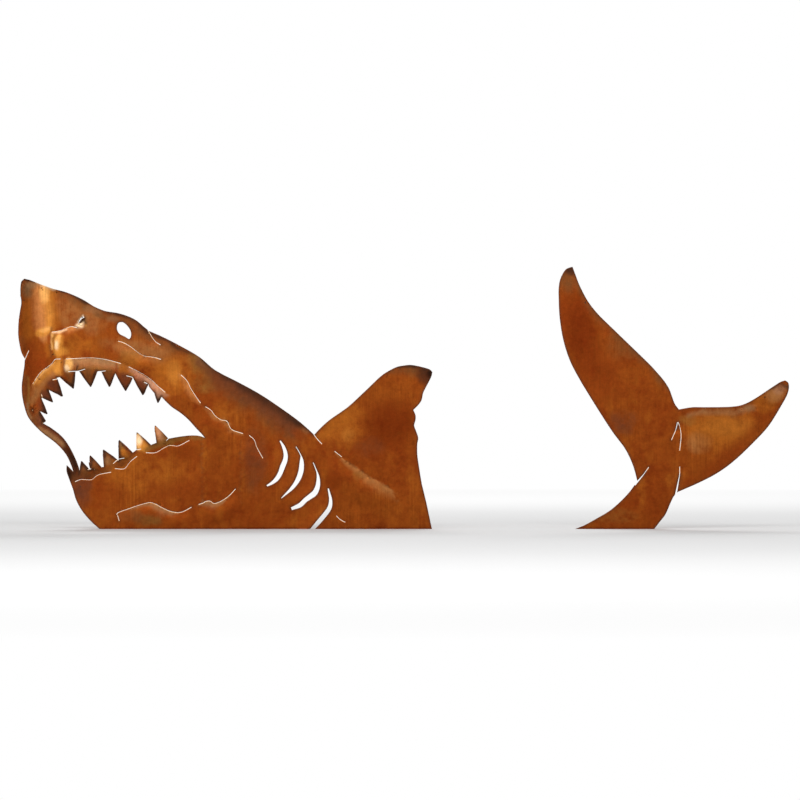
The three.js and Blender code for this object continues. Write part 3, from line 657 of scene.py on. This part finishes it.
# %% Tail
hide = Paint(tail, origin_x=TAIL_STANDS_AT)
hide.dab(DEEP, -76, 430, 52, 120, 0.9, 12)
hide.dab(RED, -30, 340, 60, 80, 0.5)
hide.dab(RED, -112, 470, 14, 70, 0.6)
hide.stroke(BROWN, [(-84, 548, 14), (-58, 498, 20), (0, 436, 22), (70, 366, 20), (112, 315, 14)], 0.6)
hide.dab(BROWN, -104, 542, 26, 36, 0.5)
hide.dab(ASH, -97, 570, 20, 18, 0.8)
hide.dab(BROWN, 14, 400, 44, 36, 0.4, -40)
hide.dab(PLUM, 20, 235, 44, 34, 0.5)
hide.dab(DEEP, -30, 345, 34, 40, 0.35)
hide.dab(RUST, 22, 338, 34, 20, 0.5)
hide.dab(AMBER, 60, 84, 13, 60, 0.4)
hide.dab(AMBER, 117, 106, 9, 26, 0.4)
hide.dab(RED, 94, 50, 34, 60, 0.5)
hide.dab(OLIVE, 0, 28, 60, 22, 0.4)
hide.say("tall fluke and stock")
# The low fluke's amber is partly a painted highlight, as it faces the light.
hide.dab(AMBER, 235, 222, 104, 56, 0.9)
hide.dab(GOLD, 245, 226, 80, 30, 0.15)
hide.stroke(TAN, [(160, 252, 9), (210, 258, 13), (262, 258, 13), (305, 268, 9)], 0.6)
hide.dab(OLIVE, 160, 240, 26, 16, 0.5)
hide.dab(SAND, 182, 190, 40, 30, 0.45)
hide.stroke(RED, [(160, 100, 22), (225, 136, 28), (290, 196, 24), (345, 262, 20)], 0.55)
hide.dab(AMBER, 330, 276, 34, 26, 0.7)
hide.dab(SAND, 354, 298, 34, 28, 0.85, 30)
hide.dab(ROSE, 362, 308, 20, 16, 0.35)
hide.stroke(ASH, [(338, 310, 4), (366, 322, 8), (380, 310, 7)], 0.6)
# Painted shade beside the cut where the tongue is bent back.
hide.stroke(DEEP, [(136, 234, 3.5), (134, 212, 3.5)], 0.95, side=-1)
hide.say("low fluke")
hide.dry()

# %% [markdown]
# ## Shader maths as formulas
#
# A node tree for rust needs a lot of small sums. A wrapped socket with the usual operators lets them be
# written as formulas, and one method makes every other kind of node.

# %% Sockets that add up


class Signal:
    """An output socket that can be added, subtracted, multiplied and divided."""

    def __init__(self, bench, socket):
        self.bench, self.socket = bench, socket

    def _maths(self, operation, a, b):
        return self.bench.node("ShaderNodeMath", {"operation": operation}, {0: a, 1: b})

    def __add__(self, other):
        return self._maths("ADD", self, other)

    def __sub__(self, other):
        return self._maths("SUBTRACT", self, other)

    def __rsub__(self, other):
        return self._maths("SUBTRACT", other, self)

    def __mul__(self, other):
        return self._maths("MULTIPLY", self, other)

    def __truediv__(self, other):
        return self._maths("DIVIDE", self, other)

    def __rtruediv__(self, other):
        return self._maths("DIVIDE", other, self)

    __radd__ = __add__
    __rmul__ = __mul__


class Bench:
    """A material and its node tree."""

    def __init__(self, name):
        self.material = bpy.data.materials.new(name)
        self.material.use_nodes = True
        self.tree = self.material.node_tree
        self.tree.nodes.clear()

    def node(self, kind, settings=None, sockets=None, output=0):
        """Makes a node. Its settings come first, then the values or links of its sockets."""
        made = self.tree.nodes.new(kind)
        for name, value in (settings or {}).items():
            if name == "stops":
                self._set_stops(made.color_ramp, value)
            else:
                setattr(made, name, value)
        for name, value in (sockets or {}).items():
            if isinstance(value, Signal):
                self.tree.links.new(value.socket, made.inputs[name])
            else:
                made.inputs[name].default_value = value
        return Signal(self, made.outputs[output]) if made.outputs else made

    @staticmethod
    def _set_stops(ramp, stops):
        while len(ramp.elements) < len(stops):
            ramp.elements.new(1.0)
        for element, (place, grey) in zip(ramp.elements, stops):
            element.position = place
            element.color = (grey, grey, grey, 1)

    def ramp(self, value, *stops):
        """A curve through stops of (input, output)."""
        return self.node("ShaderNodeValToRGB", {"stops": stops}, {"Fac": value})

    def clamp(self, value):
        return self.node("ShaderNodeClamp", {}, {"Value": value})

    def noise(self, where, scale, detail=4.0, roughness=0.55):
        """Soft noise. Scale counts its patches in a metre, so 40 gives patches of 25 mm."""
        sockets = {"Vector": where, "Scale": scale, "Detail": detail, "Roughness": roughness}
        return self.node("ShaderNodeTexNoise", {}, sockets)

    def stored(self, name, output=2):
        """What the vertices store under a name, as a number. Output 0 gives it as a colour."""
        return self.node("ShaderNodeAttribute", {"attribute_name": name}, output=output)

    def mix(self, share, a, b):
        """Mixes two colours. A share of 0 gives a and 1 gives b."""
        sockets = {"Factor": share, 6: a, 7: b}
        return self.node("ShaderNodeMix", {"data_type": "RGBA"}, sockets, output=2)

    def brighten(self, colour, by):
        """Multiplies a colour by a number."""
        return self.node("ShaderNodeVectorMath", {"operation": "SCALE"}, {0: colour, "Scale": by})


def rgba(colour):
    return (*(float(c) for c in colour), 1.0)


# %% [markdown]
# ## The rust
#
# From the steel outwards: a slow change from red to amber, blotches a thumb wide, streaks where water has
# run down, and a fine grain. The paint goes over that with its edges broken by the same noise. Last come
# the burnt edges and a painted highlight on the lips of the thin cuts. Rust on a worked sheet has a satin
# sheen of its own colour, so the surface is metallic and not very rough.

# %% Weathering steel


def weathering_steel():
    bench = Bench("rusted_face")
    where = bench.node("ShaderNodeTexCoord", output=3)

    def stretched(across, up):
        return bench.node("ShaderNodeMapping", {}, {"Vector": where, "Scale": (across, across, up)})

    slow = bench.noise(where, 9.0, 3.0)
    blotches = bench.noise(where, 42.0, 4.0, 0.6)
    mottle = bench.noise(where, 120.0, 3.0, 0.6)
    patches = bench.noise(stretched(26.0, 15.0), 1.0, 3.0, 0.5)
    streaks = bench.noise(stretched(270.0, 14.0), 1.0, 4.0, 0.6)
    grain = bench.noise(where, 650.0, 3.0, 0.7)

    freshness = bench.clamp(0.55 + (slow - 0.5) * 2 + (blotches - 0.5) * 2)
    colour = bench.mix(freshness, rgba(RED), rgba(RUST))
    run_down = (streaks - 0.5) * bench.clamp((slow - 0.4) * 4)
    colour = bench.mix(bench.clamp((patches - 0.54) * 2.5 + run_down), colour, rgba(AMBER))

    painted = bench.stored("paint", output=0)
    cover = Signal(bench, painted.socket.node.outputs["Alpha"])
    unrest = (blotches - 0.5) * 2 + (patches - 0.5) * 1.5 + run_down
    frayed = bench.clamp(cover + unrest * cover * (1 - cover) * 3)
    colour = bench.mix(frayed, colour, painted)

    light = 1 + run_down * 0.7 + (mottle - 0.5) * 0.5
    light = light + (blotches - 0.5) * 0.4 + (grain - 0.5) * 0.6
    colour = bench.brighten(colour, light)

    edge_mm = bench.stored("edge_mm")
    bare = bench.stored("bare")
    burnt = bench.ramp(edge_mm / (3 + blotches * 9), (0.0, 0.75), (0.3, 0.4), (0.6, 0.12), (1.0, 0.0))
    colour = bench.mix(burnt * (1 - bare), colour, rgba(SCALE))
    cut_mm = bench.stored("cut_mm")
    # Painted highlight: the lips of the thin cuts turn honey-pale.
    cut_lip_highlight = bench.ramp(cut_mm / (0.5 + blotches * 0.7), (0.3, 0.85), (1.0, 0.0))
    colour = bench.mix(cut_lip_highlight, colour, rgba(HONEY))

    rough = bench.ramp(blotches * 0.5 + patches * 0.3 + grain * 0.2, (0.38, 0.40), (0.62, 0.60))
    height = grain * 0.4 + blotches + streaks * 0.4
    bump = bench.node("ShaderNodeBump", {}, {"Strength": 0.5, "Distance": 0.7 * MM, "Height": height})
    surface = bench.node(
        "ShaderNodeBsdfPrincipled",
        {},
        {"Base Color": colour, "Roughness": rough, "Metallic": 1.0, "Normal": bump},
    )
    bench.node("ShaderNodeOutputMaterial", {}, {"Surface": surface})
    print(bench.material.name, "has", len(bench.tree.nodes), "nodes")
    return bench.material


RUSTED = weathering_steel()

# %% [markdown]
# ## The cut edge
#
# The torch leaves a narrow wall with fine drag lines across the sheet's thickness. Along the open edges its
# scale is darker than the faces, and a little rust has come through it. In the thin cuts the wall is
# painted pale cream, a painted highlight where the narrow slot would otherwise sit in shade.

# %% Cut edge


def cut_edge():
    bench = Bench("cut_edge")
    where = bench.node("ShaderNodeTexCoord", output=3)
    drag = bench.node("ShaderNodeMapping", {}, {"Vector": where, "Scale": (900.0, 60.0, 900.0)})
    lines = bench.noise(drag, 1.0)
    blotches = bench.noise(where, 60.0)
    rust_through = bench.clamp((blotches - 0.45) * 5 + (lines - 0.5) * 2)
    colour = bench.mix(rust_through, rgba(SCALE), rgba(BROWN))
    cut_mm = bench.stored("cut_mm")
    # Painted highlight: the walls of the thin cuts turn pale cream where the narrow slot sits in shade.
    colour = bench.mix(bench.ramp(cut_mm, (0.2, 0.9), (0.8, 0.0)), colour, rgba(CREAM))
    bump = bench.node("ShaderNodeBump", {}, {"Strength": 0.6, "Distance": 0.3 * MM, "Height": lines})
    surface = bench.node(
        "ShaderNodeBsdfPrincipled",
        {},
        {"Base Color": colour, "Roughness": 0.7, "Metallic": 0.3, "Normal": bump},
    )
    bench.node("ShaderNodeOutputMaterial", {}, {"Surface": surface})
    print(bench.material.name, "has", len(bench.tree.nodes), "nodes")
    return bench.material


CUT = cut_edge()

# %% [markdown]
# ## Thickness
#
# Solidify gives each skin its 3 mm towards the back and puts the second material on the walls between. A
# narrow Bevel in the same material breaks the edges, as rust and a wire brush do. Then the sheet takes the
# place of its node.

# %% Solid sheets
EDGE_BREAK = 0.15 * MM
CORNER = math.radians(60)
SHARP = math.radians(30)


def finish_sheet(sheet, node):
    for finish in (RUSTED, CUT):
        sheet.data.materials.append(finish)
    alone(sheet)
    thick = sheet.modifiers.new("thickness", "SOLIDIFY")
    thick.thickness = SHEET
    thick.offset = -1
    thick.material_offset_rim = 1
    bpy.ops.object.modifier_apply(modifier=thick.name)
    edges = sheet.modifiers.new("broken edges", "BEVEL")
    edges.width = EDGE_BREAK
    edges.segments = 1
    edges.limit_method = "ANGLE"
    edges.angle_limit = CORNER
    edges.material = 1
    bpy.ops.object.modifier_apply(modifier=edges.name)
    bpy.ops.object.shade_smooth_by_angle(angle=SHARP)
    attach(sheet, "root")
    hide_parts(node)
    sheet.data.calc_loop_triangles()
    print(sheet.name, len(sheet.data.loop_triangles), "triangles")


for sheet in (head, tail):
    sheet.data.materials.clear()
finish_sheet(head, "shark_head")
finish_sheet(tail, "shark_tail")

# %% [markdown]
# ## Studio
#
# The floor is pale where the sculpture stands and turns into plain white further off, like a paper sweep,
# so no horizon shows.

# %% Floor
SWEEP_START, SWEEP_END, FLOOR_END = 2.0, 6.0, 60
MIDDLE_X = 0.3
PALE, WHITE = (0.85, 0.85, 0.85, 1), (1, 1, 1, 1)
bpy.ops.object.select_all(action="DESELECT")
bpy.ops.mesh.primitive_circle_add(
    vertices=96, radius=FLOOR_END, fill_type="NGON", location=(MIDDLE_X, 0, 0)
)
floor = bpy.context.active_object
floor.name = "floor"
pale = Bench("pale_floor")
spot = pale.node("ShaderNodeTexCoord", output=3)
reach = pale.node("ShaderNodeVectorMath", {"operation": "LENGTH"}, {0: spot}, output=1)
sweep = pale.clamp((reach - SWEEP_START) / (SWEEP_END - SWEEP_START))
paper = pale.node("ShaderNodeBsdfPrincipled", {}, {"Base Color": PALE, "Roughness": 0.9})
glow = pale.node("ShaderNodeEmission", {}, {"Color": WHITE})
both = pale.node("ShaderNodeMixShader", {}, {0: sweep, 1: paper, 2: glow})
pale.node("ShaderNodeOutputMaterial", {}, {"Surface": both})
floor.data.materials.append(pale.material)
print("floor:", [round(side, 1) for side in floor.dimensions])

# %% [markdown]
# ## Light
#
# Weathering steel shows its shape in its sheen, so the room is only half bright, and three soft boxes do
# the rest. One stands high in front and brightens what leans back. One stands to the left for the turned
# snout. The third stands high behind, so that the back can be looked at too.

# %% World and soft boxes
ROOM_LIGHT = 0.5
MIDDLE, SNOUT = (MIDDLE_X, 0, 0.3), (-0.3, 0, 0.35)
world = bpy.data.worlds.new("white studio")
bpy.context.scene.world = world
world.use_nodes = True
backdrop = world.node_tree.nodes["Background"]
seen = world.node_tree.nodes.new("ShaderNodeLightPath")
strength = world.node_tree.nodes.new("ShaderNodeMapRange")
strength.inputs["To Min"].default_value = ROOM_LIGHT
backdrop.inputs["Color"].default_value = WHITE
world.node_tree.links.new(seen.outputs["Is Camera Ray"], strength.inputs["Value"])
world.node_tree.links.new(strength.outputs["Result"], backdrop.inputs["Strength"])


def softbox(name, place, aim, wide, high, watts):
    """A rectangle of light at a place, turned towards a point."""
    data = bpy.data.lights.new(name, "AREA")
    data.shape = "RECTANGLE"
    data.size, data.size_y, data.energy = wide, high, watts
    lamp = bpy.data.objects.new(name, data)
    bpy.context.scene.collection.objects.link(lamp)
    lamp.location = place
    gaze = Vector(aim) - Vector(place)
    lamp.rotation_euler = gaze.to_track_quat("-Z", "Y").to_euler()
    print(name, "is", round(gaze.length, 1), "m away")


softbox("high box", (MIDDLE_X, -5.0, 3.3), MIDDLE, 3.6, 1.6, 120)
softbox("left box", (-2.9, -6.0, 1.2), SNOUT, 0.9, 2.2, 45)
softbox("rear box", (MIDDLE_X, 5.0, 3.3), MIDDLE, 3.6, 1.6, 120)

# %% [markdown]
# ## Camera
#
# It stands far off, straight in front, with a long lens, as for a catalogue picture. The lens follows from
# how many millimetres of the sculpture one pixel of an 800 pixel picture shows.

# %% Camera
PICTURE = 800
MM_PER_PIXEL = 2.2
LENS_DISTANCE = 13.0
SENSOR = 36.0
AIM_X, AIM_Z = 0.2948, 0.2838
SEES_TO = 200
lens_data = bpy.data.cameras.new("camera")
lens_data.sensor_width = SENSOR
lens_data.lens = SENSOR * LENS_DISTANCE / (PICTURE * MM_PER_PIXEL * MM)
lens_data.clip_end = SEES_TO
camera = bpy.data.objects.new("camera", lens_data)
bpy.context.scene.collection.objects.link(camera)
camera.location = (AIM_X, -LENS_DISTANCE, AIM_Z)
camera.rotation_euler = (math.radians(90), 0, 0)
bpy.context.scene.camera = camera
bpy.context.scene.view_settings.view_transform = "Standard"
print("lens:", round(lens_data.lens), "mm")
